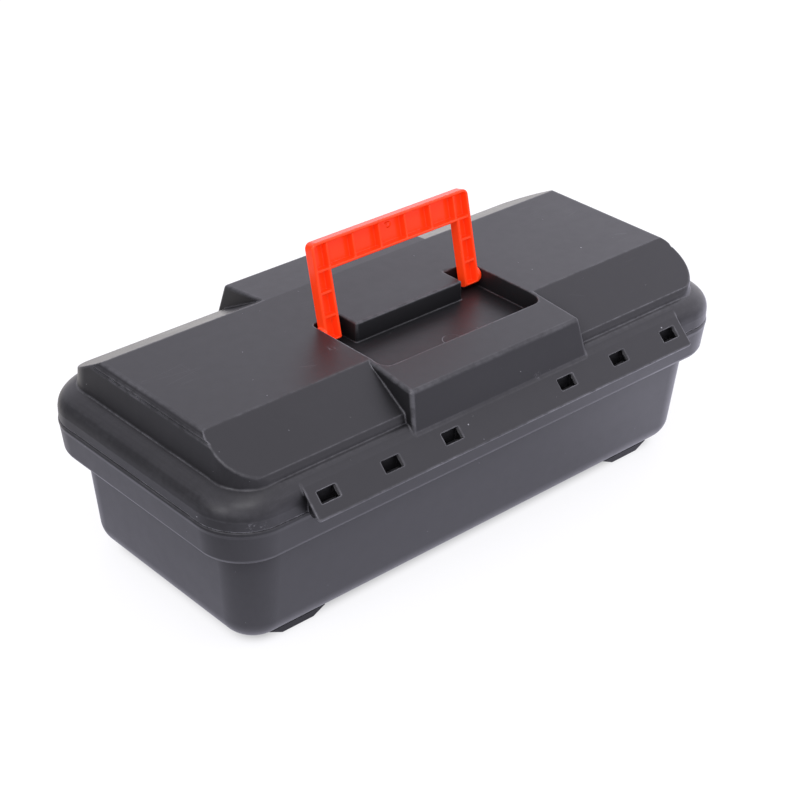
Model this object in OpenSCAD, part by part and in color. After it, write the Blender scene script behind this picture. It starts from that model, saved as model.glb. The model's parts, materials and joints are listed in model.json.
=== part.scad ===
// Hinged carry case for a small battery: moulded base and lid, a full-width
// rear hinge, two front latches, a fold-down bail handle and a lift-out tray.
// X runs along the case, -Y is the hinge side, +Y is the latch side, +Z is up.
// The origin is on the ground under the middle of the base.

/* [Case] */
// Half the length of the case at the parting line
half_len = 198; // [190:1:206]
// Half the width of the case at the parting line
half_wid = 93.5; // [92:0.5:95]
// Height of the parting line above the ground
part_z = 94; // [92:0.5:96]
// Wall thickness of the two mouldings
wall = 2.4; // [2:0.1:2.6]
// Plan radius of the case corners at the parting line
rim_r = 31; // [28:1:34]

/* [Lid] */
// Height of the flat deck above the ground
deck_z = 137.5; // [137:0.5:139]
// Distance from the middle to each long crease of the deck
crease_y = 47.9; // [46:0.1:49]
// Depth of the handle recess
recess_d = 12.7; // [12.4:0.1:13.2]
// Half the width of the raised centre band at its top
band_x = 66.8; // [66.4:0.1:67.4]

/* [Hinge] */
// Half the length of the hinge flange
flange_x = 150; // [148:0.5:152]
// Distance of the hinge axis behind the middle of the case
hinge_y = 97.5; // [97.4:0.1:97.7]
// Height of the hinge axis above the ground
hinge_z = 94.8; // [94.7:0.1:95]
// Radius of the steel hinge rod
rod_r = 1.6; // [1.5:0.05:1.6]
// Half the length of one flange window
window_x = 6.6; // [6.2:0.1:7]

/* [Handle] */
// Distance from the handle pivot to the top of the grip bar
handle_h = 55.4; // [52:0.2:55.6]
// Outer half width of the handle
handle_x = 61.3; // [61:0.1:61.5]
// Thickness of the handle from front to back
handle_d = 7.5; // [7:0.1:7.8]
// Lean of the raised handle toward the latch side, in degrees
handle_lean = 13; // [0:1:18]

/* [Latches] */
// Distance from the middle to the middle of each latch
latch_x = 112; // [100:1:118]
// Width of each latch
latch_w = 36; // [30:1:40]

/* [Tray] */
// Height of the tray above the ledge it rests on
tray_h = 16.4; // [14:0.2:16.6]
// Distance from the middle to the outer dividers
divider_x = 104; // [90:1:120]

/* [Hidden] */

shelf_z = part_z - 18.4; // ledge inside the base that carries the tray
window_centres = [46.4, 91.2, 136.7]; // flange windows, mirrored about the middle
pivot_y = -2; // handle pivot
pivot_z = deck_z - 4.5;
recess_x = 63.2; // half length of the handle recess
latch_pin_y = half_wid + 4.9;
latch_pin_z = part_z + 9.8;
barrel_r = 3.3; // latch barrel and the lid ears beside it

// ---------- outlines, lofts and rods ----------
corner_steps = 8; // segments in each lofted corner

function rounded_outline(half_x, half_y, radius) =
    [for (quarter = [0:3]) for (i = [0:corner_steps])
        let (angle = 90 * quarter + 90 * i / corner_steps,
             x = (quarter == 0 || quarter == 3) ? half_x - radius : radius - half_x,
             y = (quarter < 2) ? half_y - radius : radius - half_y)
        [x + radius * cos(angle), y + radius * sin(angle)]];

// Skin through a stack of rounded outlines, capped at the first and last row.
// Rows are [inset from half_len, inset from half_wid, corner radius, height];
// inset is taken off both half sizes of every row.
module loft(rows, inset = 0) {
    n = 4 * (corner_steps + 1);
    last = len(rows) - 1;
    points = [for (row = rows)
        for (p = rounded_outline(half_len - inset - row[0],
                                 half_wid - inset - row[1], row[2]))
            [p[0], p[1], row[3]]];
    sides = [for (i = [0:last - 1]) for (j = [0:n - 1])
        let (here = i * n + j, next = i * n + (j + 1) % n)
        each [[here, next, next + n], [here, next + n, here + n]]];
    first_cap = [for (j = [n - 1:-1:0]) j];
    last_cap = [for (j = [0:n - 1]) last * n + j];
    polyhedron(points = points, faces = concat([first_cap], sides, [last_cap]),
        convexity = 8);
}

// Flat rounded rectangle given by its half sizes
module plan(half_x, half_y, radius) {
    in_x = half_x - radius;
    in_y = half_y - radius;
    translate([-in_x, -in_y]) square([2 * in_x, 2 * in_y]);
    translate([-half_x, -in_y]) square([2 * half_x, 2 * in_y]);
    translate([-in_x, -half_y]) square([2 * in_x, 2 * half_y]);
    for (x = [-in_x, in_x]) for (y = [-in_y, in_y])
        translate([x, y]) circle(radius, $fn = 64);
}

// Closes a half profile, listed from the outside in, with its mirror image
function symmetric(half) = concat(
    [for (p = half) [-p[0], p[1]]],
    [for (i = [len(half) - 1:-1:0]) half[i]]);

// Runs a YZ profile along X from x0 to x1
module along_x(x0, x1)
    translate([x0, 0, 0]) rotate([90, 0, 90])
        linear_extrude(x1 - x0) children();

// Runs an XZ profile along Y from -half_y to half_y
module along_y(half_y)
    translate([0, half_y, 0]) rotate([90, 0, 0])
        linear_extrude(2 * half_y) children();

module rod_along_x(x0, x1, y, z, r, facets = 40)
    translate([x0, y, z]) rotate([0, 90, 0])
        cylinder(h = x1 - x0, r = r, $fn = facets);

// Rod on the hinge axis, reaching past each end of the flange
module hinge_axis_rod(beyond, r)
    rod_along_x(-flange_x - beyond, flange_x + beyond, -hinge_y, hinge_z, r, 48);

// Rod on the axis of the latch at x, reaching past each side of the latch
module latch_axis_rod(x, beyond, r, facets = 48)
    rod_along_x(x - latch_w / 2 - beyond, x + latch_w / 2 + beyond,
        latch_pin_y, latch_pin_z, r, facets);

module mirrored() {
    children();
    mirror([1, 0, 0]) children();
}

// ---------- base ----------
// Loft rows from the cavity floor, up over the rim and down to the underside
base_rows = [
    // floor and inner wall
    [32.6, 29.6, 8, 6.7], [27.8, 24.8, 11, 8], [23.6, 20.6, 14, 11.4],
    [20.9, 17.9, 17.6, 15.6], [20.1, 17.1, 19.6, 20],
    // tray ledge
    [16.1, 11.3, 23, shelf_z - 1.4], [15.3, 10.5, 24, shelf_z - 0.3],
    [14.5, 10, 24.4, shelf_z], [5.6, 5.3, 24.6, shelf_z],
    // upstand inside the lid
    [4.9, 4.8, 26.2, part_z - 0.2], [4.7, 4.7, 26.3, part_z + 3.2],
    [4.3, 4.3, 26.7, part_z + 3.6], [3.4, 3.4, 27.6, part_z + 3.6],
    [3, 3, 28, part_z + 3.2], [3, 3, 28, part_z - 0.15],
    // rim and the step under it
    [0.4, 0.4, rim_r - 0.4, part_z - 0.15], [0, 0, rim_r, part_z - 0.5],
    [-0.35, -0.35, rim_r + 0.35, part_z - 2.6], [0, 0, rim_r, part_z - 4.4],
    [1.7, 1.6, rim_r - 2, part_z - 19.6], [2.1, 2, rim_r - 2.4, part_z - 21.2],
    [3.1, 3, rim_r - 3.4, part_z - 21.8], [12.4, 7.8, 26.8, part_z - 21.8],
    // outer wall and rounded bottom edge
    [13.5, 8.7, 26, part_z - 22.8], [17.5, 14.5, 22, 19.1],
    [18.3, 15.3, 21, 14.4], [20.9, 17.9, 18.4, 9.8], [25, 22, 14.4, 6.6],
    [29, 26, 10.4, 4.9], [33, 30, 6.6, 4.1]];
knuckle_w = 12;
knuckle_r = 3.4;
catch_size = [latch_w - 6, 5.7, 4];

// Hinge knuckle with a web joining it to the base
module knuckle(x) {
    rod_along_x(x - knuckle_w / 2, x + knuckle_w / 2, -hinge_y, hinge_z, knuckle_r);
    translate([x - knuckle_w / 2, -hinge_y + 0.6, hinge_z - 3.3])
        cube([knuckle_w, hinge_y - half_wid + 1.4, 2.5]);
}

// Bar on the front wall behind a latch
module catch(x)
    translate([x - catch_size[0] / 2, half_wid - 2.6, part_z - 9.5])
        cube(catch_size);

module base_tub() color("dimgray") difference() {
    union() {
        loft(base_rows);
        for (x = window_centres) mirrored() knuckle(x);
        mirrored() catch(latch_x);
    }
    hinge_axis_rod(1, rod_r + 0.06);
}

foot_x = 137.3;
foot_y = 60.5;
foot_w = 19; // from front to back
foot_half_profile = [[20.8, 4.05], [11.3, 0]]; // [x, z], wider at the top

module foot(side_x, side_y) color("black")
    translate([side_x * foot_x, side_y * foot_y, 0]) along_y(foot_w / 2)
        polygon(symmetric(foot_half_profile));
module foot_rear_left() foot(-1, -1);
module foot_rear_right() foot(1, -1);
module foot_front_left() foot(-1, 1);
module foot_front_right() foot(1, 1);

// ---------- lid body ----------
// Each body module takes an inset, so it gives both the outside and the hollow.
deck_half_x = half_len - 11.4;
deck_half_y = half_wid - 8.1;
deck_r = 37;

// Profile of the deck across the case
module deck_section(inset) {
    y = deck_half_y - inset;
    low_z = -inset / 2;
    polygon(symmetric([[y, part_z + 14 - 3 * inset], [y - 0.4, deck_z - 23.6],
        [y - 1.1, deck_z - 20.8 + low_z], [y - 2.2, deck_z - 19 + low_z],
        [y - 3.9, deck_z - 17.7 + low_z],
        [crease_y - 0.3 * inset, deck_z - inset]]));
}

// Profile of the deck along the case
module deck_ends(inset) {
    x = deck_half_x - inset;
    polygon(symmetric([[x, part_z - 20], [x, part_z + 12], [x - 2, deck_z - 4.4],
        [x - 2.6, deck_z - 3.9], [x - 3.6, deck_z - 1.4 - inset],
        [x - 6, deck_z - inset]]));
}

module deck(inset) intersection() {
    along_x(-half_len, half_len) deck_section(inset);
    along_y(half_wid) deck_ends(inset);
    linear_extrude(deck_z + 5)
        plan(deck_half_x - inset, deck_half_y - inset, deck_r - inset);
}

// Centre band across the case: level with the deck, then sloping a little
// past the creases
module band_section(inset) {
    y = half_wid - 1.9 - inset;
    top_z = deck_z - inset;
    polygon(symmetric([[y, part_z + 10 - 3 * inset], [y, deck_z - 28],
        [y - 5, top_z - 6.2], [y - 6, top_z - 4.6], [y - 8, top_z - 3.7],
        [crease_y, top_z]]));
}

// Tapered side walls of the band, as an XZ profile
module band_walls(inset) {
    x = band_x - inset;
    polygon(symmetric([[x + 4.6, part_z - 20], [x + 4.3, part_z + 6],
        [x + 2.4, deck_z - 3.5], [x, deck_z + 1]]));
}

module band(inset) intersection() {
    along_x(-half_len / 2, half_len / 2) band_section(inset);
    along_y(half_wid + 4) band_walls(inset);
}

// Loft rows of the skirt, from the shoulder down to the parting line
skirt_rows = [
    [12, 6.8, 33, part_z + 19.2], [9.8, 5, 33, part_z + 17.2],
    [6.6, 3.6, 32.2, part_z + 16.1], [3.6, 2, 31.4, part_z + 14.4],
    [1.5, 0.9, rim_r - 0.2, part_z + 12], [0.5, 0.3, rim_r - 0.3, part_z + 9.4],
    [0, 0, rim_r, part_z + 6.6], [0, 0, rim_r, part_z + 0.8],
    [0.4, 0.4, rim_r - 0.4, part_z + 0.25]];
// Hollow of the skirt, lofted one wall further in
skirt_void_rows = [
    [12, 7.4, 31, part_z + 16], [6, 4, 30, part_z + 13.2],
    [1.6, 1.2, 29, part_z + 9.6], [0, 0, rim_r - wall, part_z + 5.6],
    [0, 0, rim_r - wall, part_z - 3]];

// Handle recess: a rear bay with a smaller bay at each end in front of it
recess_z = deck_z - recess_d;
rear_bay_y = -59;
rear_bay_w = 48.6;
rear_bay_r = 8;
end_bay_y = -14;
end_bay_size = [20.9, 20];

module recess_outline(margin) {
    translate([-recess_x - margin, rear_bay_y - margin])
        square([2 * (recess_x + margin), rear_bay_w + 2 * margin]);
    for (side = [-1, 1])
        translate([side * (recess_x - end_bay_size[0] / 2)
            - end_bay_size[0] / 2 - margin, end_bay_y - margin])
            square([end_bay_size[0] + 2 * margin, end_bay_size[1] + 2 * margin]);
}

module recess_cut()
    translate([0, 0, recess_z]) linear_extrude(20) difference() {
        recess_outline(0);
        // round the two rear corners
        for (side = [-1, 1]) translate([side * recess_x, rear_bay_y]) difference() {
            translate([-rear_bay_r, -rear_bay_r]) square(2 * rear_bay_r);
            translate([-side * rear_bay_r, rear_bay_r])
                circle(rear_bay_r, $fn = 48);
        }
    }

// Hollow lid, left solid where the recess will be cut
module lid_body() difference() {
    union() {
        loft(skirt_rows);
        deck(0);
        band(0);
    }
    difference() {
        union() {
            loft(skirt_void_rows, wall);
            deck(wall);
            band(wall);
        }
        translate([0, 0, recess_z - wall]) linear_extrude(30)
            recess_outline(wall);
    }
}

// ---------- lid hinge flange ----------
// [y, z] profiles
flange_profile = [[-91, 108], [-92.2, 108.8], [-106, 94.8], [-106.1, 93.9],
    [-105.1, 93.2], [-91.7, 106.6]];
web_profile = [[-93, 94.6], [-93, 107.6], [-105, 95.4], [-104.2, 94],
    [-97.5, 93]];
flange_front_y = -91.2; // the flange stops here, at the rear wall
window_middle = [-98.35, 103.55]; // [y, z]
window_tilt = 45.4;
window_through = 7.2; // size of the cut across the flange
window_along = 12; // size of the cut along the slope
web_offset = 6.8; // from a window centre to the near face of a web
web_w = 1.6;
end_web_w = 2;

module hinge_web(x0, width) {
    along_x(x0, x0 + width) polygon(web_profile);
    rod_along_x(x0, x0 + width, -hinge_y, hinge_z, 3.2);
}

module hinge_flange() difference() {
    union() {
        along_x(-flange_x, flange_x) polygon(flange_profile);
        for (side = [-1, 1]) for (x = window_centres) {
            hinge_web(side * x - web_offset - web_w, web_w);
            hinge_web(side * x + web_offset, web_w);
        }
        hinge_web(-flange_x, end_web_w);
        hinge_web(flange_x - end_web_w, end_web_w);
    }
    translate([-flange_x - 1, flange_front_y, part_z])
        cube([2 * flange_x + 2, 9, 20]);
}

module window_cut()
    for (x = window_centres) for (side = [-1, 1])
        translate([side * x, window_middle[0], window_middle[1]])
            rotate([-window_tilt, 0, 0])
                translate([-window_x, -window_through / 2, -window_along / 2])
                    cube([2 * window_x, window_through, window_along]);

// ---------- lid latch ears ----------
ear_w = 3;
ear_gap = 0.6; // between a latch and the ear beside it

module latch_ear(x0) {
    along_x(x0, x0 + ear_w) polygon([
        [half_wid - 1.2, part_z + 2], [half_wid + 2, part_z + 4],
        [latch_pin_y + 1, latch_pin_z - 3], [latch_pin_y, latch_pin_z + 3],
        [half_wid - 4, part_z + 14]]);
    rod_along_x(x0, x0 + ear_w, latch_pin_y, latch_pin_z, barrel_r);
}

module lid_shell() color("dimgray") difference() {
    union() {
        lid_body();
        hinge_flange();
        for (side = [-1, 1]) {
            latch_ear(side * latch_x - latch_w / 2 - ear_gap - ear_w);
            latch_ear(side * latch_x + latch_w / 2 + ear_gap);
        }
    }
    window_cut();
    recess_cut();
    hinge_axis_rod(1, rod_r + 0.02);
    // handle pivot holes in the ends of the recess
    mirrored() rod_along_x(recess_x - 1, recess_x + wall + 1, pivot_y, pivot_z, 2.56, 48);
    for (side = [-1, 1]) latch_axis_rod(side * latch_x, 4, 1.52);
}

module hinge_rod() color("silver") hinge_axis_rod(-0.4, rod_r);

// ---------- handle ----------
arm_x = 55.5; // centre line of each arm
arm_w = 11.6;
opening_x = arm_x - arm_w / 2; // half width between the arms
bar_z = 37.3; // underside of the grip bar above the pivot
foot_drop = 5.2; // reach of the arms below the pivot
handle_r = 4; // upper outer corners
plate_t = 1.9;
handle_rim_t = 1.8;
handle_rib_t = 1.6;
bar_rib_xs = [-opening_x, -30.3, -10.1, 10.1, 30.3, opening_x];
arm_rib_zs = [10.2, 24.6, 38.2];

// Upright handle as an XZ outline with the pivot at z = 0
module handle_outline(inset) difference() {
    side_x = handle_x - inset;
    top_z = handle_h - inset;
    union() {
        translate([-side_x, 0]) square([2 * side_x, top_z - handle_r]);
        translate([handle_r - side_x, 0]) square([2 * (side_x - handle_r), top_z]);
        for (side = [-1, 1]) {
            translate([side * (side_x - handle_r), top_z - handle_r])
                circle(handle_r, $fn = 40);
            translate([side * arm_x - arm_w / 2 + inset, inset - foot_drop])
                square([arm_w - 2 * inset, 10]);
        }
    }
    translate([-opening_x - inset, -9])
        square([2 * (opening_x + inset), bar_z + 9 + inset]);
}

module handle_ribs() {
    for (x = bar_rib_xs)
        translate([x - handle_rib_t / 2, bar_z]) square([handle_rib_t, handle_h - 38.5]);
    for (side = [-1, 1]) for (z = arm_rib_zs)
        translate([side * arm_x - 5.6, z - handle_rib_t / 2])
            square([11.2, handle_rib_t]);
}

// Plate on the latch side with a full-depth rim and ribs behind it
module handle_frame() rotate([90, 0, 0]) {
    translate([0, 0, -handle_d / 2]) linear_extrude(plate_t) handle_outline(0);
    translate([0, 0, -handle_d / 2]) linear_extrude(handle_d) difference() {
        handle_outline(0);
        handle_outline(handle_rim_t);
    }
    translate([0, 0, -handle_d / 2 + 1]) linear_extrude(handle_d - 2) handle_ribs();
}

module carry_handle() color("orangered")
    translate([0, pivot_y, pivot_z]) rotate([-handle_lean, 0, 0]) {
        difference() {
            handle_frame();
            // round the feet of the arms about the pivot
            difference() {
                translate([-70, -8, -10]) cube([140, 16, 10]);
                rod_along_x(-71, 71, 0, 0, foot_drop, 64);
            }
        }
        // bosses and pivot pins
        mirrored() {
            rod_along_x(50.5, handle_x + 0.8, 0, 0, 3.7, 48);
            rod_along_x(handle_x - 1, recess_x + wall - 0.2, 0, 0, 2.5, 48);
        }
    }

// ---------- latches ----------
// [y, z] profile: down the outer face, round the lower lip, up the inner face
latch_profile = [
    [latch_pin_y + 0.5, latch_pin_z + 3.2], [latch_pin_y + 3.2, latch_pin_z + 0.6],
    [latch_pin_y + 3.4, part_z - 14], [106.1, part_z - 19.4],
    [104.7, part_z - 20.8], [latch_pin_y + 1, part_z - 16],
    [half_wid + 3.5, part_z - 14.4], [half_wid + 3.4, part_z - 11],
    [latch_pin_y + 0.9, part_z - 10.2], [latch_pin_y + 0.9, latch_pin_z - 3.2]];

module latch(x) color("orangered") difference() {
    union() {
        latch_axis_rod(x, 0, barrel_r, 40);
        along_x(x - latch_w / 2, x + latch_w / 2) polygon(latch_profile);
    }
    latch_axis_rod(x, 1, 1.56);
}
module latch_left() latch(-latch_x);
module latch_right() latch(latch_x);

module latch_pin(x) color("silver") latch_axis_rod(x, 3.5, 1.5);
module latch_pin_left() latch_pin(-latch_x);
module latch_pin_right() latch_pin(latch_x);

// ---------- tray ----------
tray_z = shelf_z + 0.15;
tray_wall = 1.8;
tray_half_x = half_len - 7.2;
tray_half_y = half_wid - 6.9;
tray_r = 22;
grip_y = -13; // axis of the grip
grip_z = tray_z + 12.6;
divider_t = 1.8;
divider_half_y = half_wid - 8.9;
divider_h = tray_h - 3.4;
guide_size = [1.5, 3.6, tray_h - 4];

module cable_tray() color("gray") difference() {
    union() {
        translate([0, 0, tray_z]) difference() {
            linear_extrude(tray_h) plan(tray_half_x, tray_half_y, tray_r);
            translate([0, 0, tray_wall]) linear_extrude(tray_h)
                plan(tray_half_x - tray_wall, tray_half_y - tray_wall,
                    tray_r - tray_wall);
        }
        // posts for the grip
        mirrored() translate([40.4, grip_y - 5, tray_z + 1]) cube([3, 10, 15.4]);
        // guide ribs on both faces of each divider end
        for (x = [-divider_x, 0, divider_x]) for (end = [-1, 1]) for (face = [-1, 1])
            translate([x + face * 1.85 - guide_size[0] / 2,
                end * (half_wid - 10.2) - guide_size[1] / 2, tray_z + 1])
                cube(guide_size);
    }
    rod_along_x(-45, 45, grip_y, grip_z, 1.66);
}

// U-shaped grip on two stub pins
module tray_grip() color("gray") {
    mirrored() rod_along_x(37, 43.2, grip_y, grip_z, 1.6);
    difference() {
        translate([-40, grip_y - 2.4, grip_z - 2]) cube([80, 28.4, 4]);
        translate([-35.4, grip_y - 4, grip_z - 3]) cube([70.8, 22.4, 6]);
    }
}

// Divider across the tray with a notch in its top edge, starting at notch_y
module tray_divider(x, notch_y = -30, notch_depth = 2, notch_size = [4, 60, 3])
    color("gainsboro")
    translate([x - divider_t / 2, -divider_half_y, tray_z + 2]) difference() {
        cube([divider_t, 2 * divider_half_y, divider_h]);
        translate([-1, divider_half_y + notch_y, divider_h - notch_depth])
            cube(notch_size);
    }
module tray_divider_left() tray_divider(-divider_x);
// the middle divider is cut deeper where the grip crosses it
module tray_divider_middle()
    tray_divider(0, notch_y = grip_y - 6, notch_depth = 5, notch_size = [4, 44, 8]);
module tray_divider_right() tray_divider(divider_x);

// ---------- battery bay ----------
block_x = 112;
block_z = 8.9;
block_size = [56, 108, 40];

module battery_mat() color("black")
    translate([0, 0, 6.8]) linear_extrude(2) plan(150, 58, 10);

// Block with a notch at the top of its inner face
module end_block(side) color("darkgray")
    translate([side * block_x, 0, block_z]) difference() {
        translate([-block_size[0] / 2, -block_size[1] / 2, 0]) cube(block_size);
        translate([-side * block_size[0] / 2 - 7, -20, 24]) cube([14, 40, 20]);
    }
module end_block_left() end_block(-1);
module end_block_right() end_block(1);

base_tub();
foot_rear_left();
foot_rear_right();
foot_front_left();
foot_front_right();
lid_shell();
hinge_rod();
carry_handle();
latch_left();
latch_right();
latch_pin_left();
latch_pin_right();
cable_tray();
tray_grip();
tray_divider_left();
tray_divider_middle();
tray_divider_right();
battery_mat();
end_block_left();
end_block_right();
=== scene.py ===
# Hard plastic carry case with a lid, bail handle, two latches, cable tray and foam blocks.
# X runs along the case, Z is up from the floor. The hinge is on the -Y side, the latches on
# the +Y side. Shapes are worked out in millimetres as distance fields, negative inside, and
# meshed; Blender gets metres.
import bpy
import json
import math
from concurrent.futures import ThreadPoolExecutor
from functools import reduce
from itertools import product
import numpy as np
from mathutils import Matrix, Vector


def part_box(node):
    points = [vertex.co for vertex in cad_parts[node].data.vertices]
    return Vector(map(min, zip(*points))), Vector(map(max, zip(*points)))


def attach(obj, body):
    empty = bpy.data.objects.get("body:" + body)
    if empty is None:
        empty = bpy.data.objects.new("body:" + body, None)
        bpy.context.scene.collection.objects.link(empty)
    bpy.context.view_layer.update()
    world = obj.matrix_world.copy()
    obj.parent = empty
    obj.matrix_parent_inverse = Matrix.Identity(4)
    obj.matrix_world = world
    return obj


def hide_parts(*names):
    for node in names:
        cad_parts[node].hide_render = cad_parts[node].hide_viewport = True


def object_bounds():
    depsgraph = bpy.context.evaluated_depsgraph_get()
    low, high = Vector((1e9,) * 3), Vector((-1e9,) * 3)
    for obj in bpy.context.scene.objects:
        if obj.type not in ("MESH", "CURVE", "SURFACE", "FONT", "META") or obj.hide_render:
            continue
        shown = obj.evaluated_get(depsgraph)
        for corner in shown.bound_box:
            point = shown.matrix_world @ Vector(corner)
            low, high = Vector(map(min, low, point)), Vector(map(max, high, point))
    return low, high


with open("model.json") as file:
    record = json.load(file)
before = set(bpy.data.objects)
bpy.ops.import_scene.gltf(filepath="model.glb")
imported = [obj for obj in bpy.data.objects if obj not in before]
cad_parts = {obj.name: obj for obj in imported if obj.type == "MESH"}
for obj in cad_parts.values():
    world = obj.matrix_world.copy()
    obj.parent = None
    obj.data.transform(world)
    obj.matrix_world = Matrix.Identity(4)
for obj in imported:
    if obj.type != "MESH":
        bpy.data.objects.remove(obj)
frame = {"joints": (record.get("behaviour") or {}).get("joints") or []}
cad_lo, cad_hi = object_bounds()
scene = bpy.context.scene


# ------------------------------------------------------------------ sizes and places
def node_box(node):
    """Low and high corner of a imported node, in mm."""
    low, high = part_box(node)
    return [v * 1000 for v in low], [v * 1000 for v in high]


def joint(name):
    found = next(item for item in frame["joints"] if item["name"] == name)
    return [v * 1000 for v in found["pos_m"]]


HALF_LENGTH, _, TOP = node_box("lid_shell")[1]   # half length at the parting line, deck height
HALF_WIDTH = HALF_LENGTH - 104.5                 # at the parting line
RIM_CORNER = 31.0                                # plan radius at the parting line
PARTING = 94.0                                   # height of the parting line
WALL = 2.4
_, HINGE_Y, HINGE_Z = joint("lid_hinge")
_, PIVOT_Y, PIVOT_Z = joint("handle_fold")
LATCH_X, LATCH_Y, LATCH_Z = joint("latch_right_swing")
_, GRIP_Y, GRIP_Z = joint("tray_grip_fold")
KNUCKLES = (46.4, 91.2, 136.7)                   # |x| of the hinge windows and knuckles
RECESS_FLOOR = TOP - 12.7
RECESS_X = 63.2                                  # half length of the handle recess


# ------------------------------------------------------------------ distance fields
def both(first, second, radius):
    """Where both solids are, with the edge between them rounded."""
    past_first = np.maximum(first + radius, 0)
    past_second = np.maximum(second + radius, 0)
    return (np.minimum(np.maximum(first, second), -radius)
            + np.sqrt(past_first * past_first + past_second * past_second))


def either(first, second, radius):
    """The two solids joined, with a fillet in the corner between them."""
    return -both(-first, -second, radius)


def less(solid, cut, radius):
    """The solid without the cut, with a rounded edge."""
    return both(solid, -cut, radius)


def carve(solid, cut):
    """The solid without the cut, with a sharp edge."""
    return np.maximum(solid, -cut)


def any_of(parts):
    return reduce(np.minimum, parts)


def plan(abs_x, abs_y, half_x, half_y, radius):
    """Rounded rectangle."""
    past_x = abs_x - (half_x - radius)
    past_y = abs_y - (half_y - radius)
    return (np.sqrt(np.maximum(past_x, 0) ** 2 + np.maximum(past_y, 0) ** 2)
            + np.minimum(np.maximum(past_x, past_y), 0) - radius)


def rim(abs_x, abs_y):
    """Plan of the case at the parting line."""
    return plan(abs_x, abs_y, HALF_LENGTH, HALF_WIDTH, RIM_CORNER)


def block(x, y, z, low, high, radius):
    """Rounded box between two corners."""
    centre = [(p + q) / 2 for p, q in zip(low, high)]
    half = [(q - p) / 2 - radius for p, q in zip(low, high)]
    past = [np.abs(v - c) - h for v, c, h in zip((x, y, z), centre, half)]
    out = np.sqrt(np.maximum(past[0], 0) ** 2 + np.maximum(past[1], 0) ** 2
                  + np.maximum(past[2], 0) ** 2)
    return out + np.minimum(np.maximum(np.maximum(past[0], past[1]), past[2]), 0) - radius


def slabs(x, spans):
    """Slabs between the planes (start, end)."""
    return any_of(np.abs(x - (start + end) / 2) - (end - start) / 2 for start, end in spans)


def beside(centre, near, far):
    """The two spans that lie from `near` to `far` on either side of a centre."""
    return [(centre - far, centre - near), (centre + near, centre + far)]


def off_axis(across, up, at_across=0, at_up=0):
    """Distance from an axis seen end on."""
    return np.sqrt((across - at_across) ** 2 + (up - at_up) ** 2)


def rounded(corners, step=0.35):
    """Corners (across, up, radius) to a closed outline with true arcs."""
    points = []
    for i, (across, up, radius) in enumerate(corners):
        corner = np.array((across, up), float)
        if radius <= 0:
            points.append(corner)
            continue
        back = np.array(corners[i - 1][:2], float) - corner
        ahead = np.array(corners[(i + 1) % len(corners)][:2], float) - corner
        back_length, ahead_length = np.linalg.norm(back), np.linalg.norm(ahead)
        back, ahead = back / back_length, ahead / ahead_length
        half = math.acos(max(-1, min(1, float(back @ ahead)))) / 2
        if half > math.pi / 2 - 1e-3:
            points.append(corner)
            continue
        trim = min(radius / math.tan(half), 0.49 * back_length, 0.49 * ahead_length)
        radius = trim * math.tan(half)
        middle = back + ahead
        centre = corner + middle / np.linalg.norm(middle) * radius / math.sin(half)
        start, end = corner + back * trim - centre, corner + ahead * trim - centre
        turn = math.atan2(start[0] * end[1] - start[1] * end[0], start @ end)
        count = max(3, min(9, int(abs(turn) * radius / step) + 3))
        for k in range(count + 1):
            angle = turn * k / count
            cos, sin = math.cos(angle), math.sin(angle)
            points.append(centre + np.array((start[0] * cos - start[1] * sin,
                                             start[0] * sin + start[1] * cos)))
    return points


def outline(across, up, points):
    """Distance to a closed outline."""
    nearest = np.inf
    inverted = False
    for i, a in enumerate(points):
        b = points[i - 1]
        edge_x, edge_y = float(b[0] - a[0]), float(b[1] - a[1])
        if edge_x * edge_x + edge_y * edge_y < 1e-12:
            continue
        from_x, from_y = across - float(a[0]), up - float(a[1])
        along = np.clip((from_x * edge_x + from_y * edge_y)
                        / (edge_x * edge_x + edge_y * edge_y), 0, 1)
        square = (from_x - edge_x * along) ** 2 + (from_y - edge_y * along) ** 2
        above, below = up >= float(a[1]), up < float(b[1])
        left = edge_x * from_y > edge_y * from_x
        inverted = inverted ^ ((above == below) & (below == left))
        nearest = np.minimum(nearest, square)
    return np.where(inverted, -1.0, 1.0).astype(nearest.dtype) * np.sqrt(nearest)


def curve(points, steps=6):
    """A smooth line through the points."""
    fixed = np.array(points, float)
    ends = np.vstack([2 * fixed[0] - fixed[1], fixed, 2 * fixed[-1] - fixed[-2]])
    out = []
    for i in range(1, len(ends) - 2):
        p0, p1, p2, p3 = ends[i - 1:i + 3]
        for k in range(steps):
            t = k / steps
            out.append(0.5 * ((2 * p1) + (p2 - p0) * t + (2 * p0 - 5 * p1 + 4 * p2 - p3) * t * t
                              + (3 * p1 - p0 - 3 * p2 + p3) * t ** 3))
    out.append(fixed[-1])
    return out


# ------------------------------------------------------------------ grid lines
def spread(start, *spans):
    """Grid lines through spans (end, step)."""
    out = [start]
    for end, step in spans:
        count = max(1, int(round((end - out[-1]) / step)))
        out += list(np.linspace(out[-1], end, count + 1)[1:])
    return out


def clusters(low, high, coarse, fine, spots):
    """Grid lines at most `coarse` apart, and `fine` apart within each spot (from, to)."""
    out = [low]
    while out[-1] < high - 1e-6:
        x = out[-1]
        near = any(a - 1e-6 <= x < b - 1e-6 for a, b in spots)
        following = x + (fine if near else coarse)
        if not near:
            for a, _ in spots:
                if x < a < following:
                    following = a
        out.append(min(following, high))
    if len(out) > 2 and out[-1] - out[-2] < 0.3 * fine:
        out.pop(-2)
    return out


def mirrored(lines):
    return sorted(set([-v for v in lines] + lines))


# ------------------------------------------------------------------ meshing
CORES = ThreadPoolExecutor(4)
CELL_CORNERS = list(product((0, 1), repeat=3))


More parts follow.
